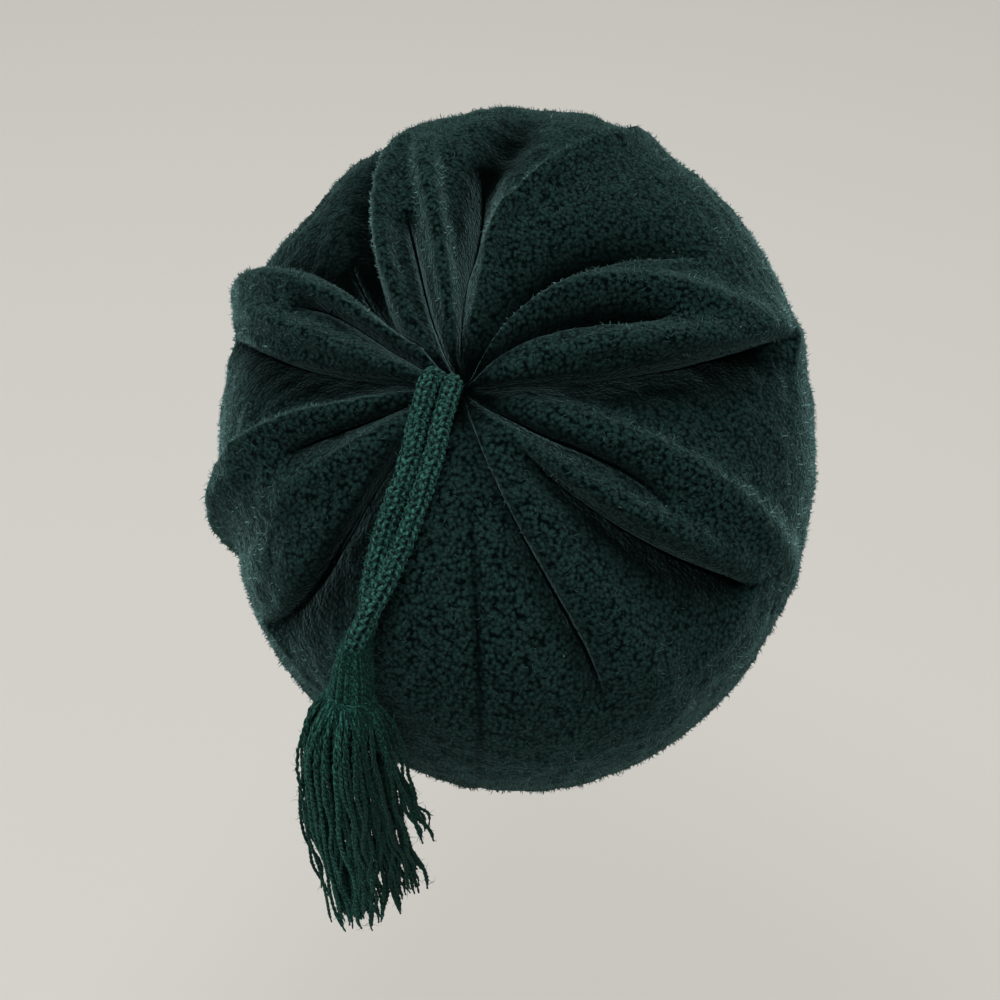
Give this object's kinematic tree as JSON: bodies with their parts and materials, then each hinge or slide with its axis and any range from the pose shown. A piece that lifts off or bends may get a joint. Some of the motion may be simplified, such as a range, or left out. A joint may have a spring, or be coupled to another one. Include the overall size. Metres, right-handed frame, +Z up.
{
  "type": "tassel beanie",
  "caption": "Soft fleece beanie with a gathered crown that falls in radial folds, and a doubled knitted cord from the gather that ends in a hanging yarn tassel.",
  "frame": {"origin": "middle of the rim's opening, where the head goes in", "axes": "+Z up and -Y forwards as it is worn, so +Y is the nape and +X the wearer's left; the crown leans back 26 degrees, and the tassel hangs straight down"},
  "size_m": [0.1857, 0.2451, 0.1802],
  "materials": {
    "fleece": "dark bottle green polyester fleece with a short pebbled pile and a pale bloom along its edges",
    "cord_yarn": "matt teal green wool yarn, knitted into a round cord",
    "tassel_yarn": "matt dark green plied wool yarn with loose fibres"
  },
  "bodies": {
    "root": {"fleece_crown": "fleece", "cord_left": "cord_yarn", "cord_right": "cord_yarn", "tassel": "tassel_yarn"}
  },
  "joints": []
}
